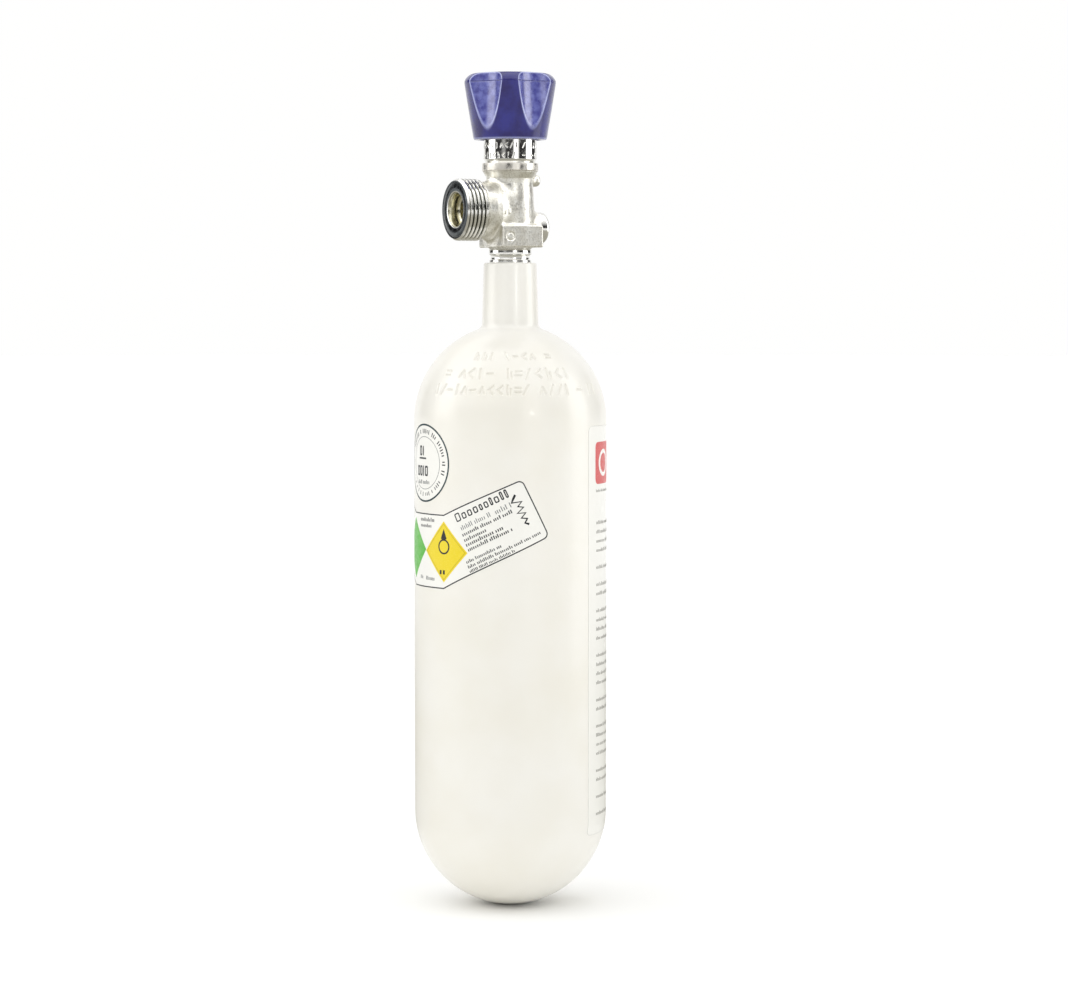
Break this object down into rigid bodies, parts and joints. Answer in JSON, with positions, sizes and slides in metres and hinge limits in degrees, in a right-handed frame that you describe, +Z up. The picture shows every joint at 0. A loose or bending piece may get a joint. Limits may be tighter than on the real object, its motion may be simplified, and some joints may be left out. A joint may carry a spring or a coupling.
{
  "type": "medical oxygen cylinder",
  "caption": "Small white steel oxygen cylinder, domed at both ends with a long neck, closed by a plated valve with a threaded side outlet and a fluted blue handwheel.",
  "frame": {"origin": "lowest point of the round bottom, on the bottle's axis", "axes": "+Z up along the bottle's axis to the handwheel, -Y out of the valve's outlet, +Y out of the safety plug, X across the wrench flats"},
  "size_m": [0.083, 0.0832, 0.3601],
  "materials": {
    "shell_paint": "satin white lacquer",
    "plated_casting": "satin nickel on a forged brass body",
    "polished_plating": "bright nickel, turned",
    "bare_brass": "turned",
    "blue_plastic": "satin moulded plastic",
    "black_rubber": "matt",
    "white_seal": "matt",
    "spring_steel": "bright",
    "label_film": "semi-gloss printed film"
  },
  "bodies": {
    "bottle": {"cylinder_shell": "shell_paint", "valve_body": "plated_casting", "dip_tube": "bare_brass", "outlet_insert": "bare_brass", "gland_nut": "polished_plating", "gland_o_ring": "black_rubber", "safety_plug": "polished_plating", "burst_disc": "bare_brass", "burst_gasket": "white_seal", "data_label": "label_film", "test_label": "label_film", "instruction_label": "label_film"},
    "handwheel": {"handwheel": "blue_plastic", "handwheel_cap": "blue_plastic", "handwheel_insert": "bare_brass", "handwheel_washer": "spring_steel", "handwheel_nut": "spring_steel", "spindle": "bare_brass", "spindle_o_rings": "black_rubber", "spindle_washer": "white_seal", "spindle_spring": "spring_steel"},
    "seat_plug": {"seat_plug": "bare_brass", "seat_pad": "white_seal"}
  },
  "joints": [
    {"name": "handwheel_turn", "type": "hinge", "parent": "bottle", "child": "handwheel", "pos_m": [0, 0, 0.345], "axis": [0, 0, 1], "range_deg": [0, 720]},
    {"name": "seat_lift", "type": "slide", "parent": "handwheel", "child": "seat_plug", "axis": [0, 0, 1], "range_m": [0, 0.002]}
  ],
  "couplings": [
    {"joint": "seat_lift", "follows": "handwheel_turn", "m_per_rad": 0.00015915}
  ]
}
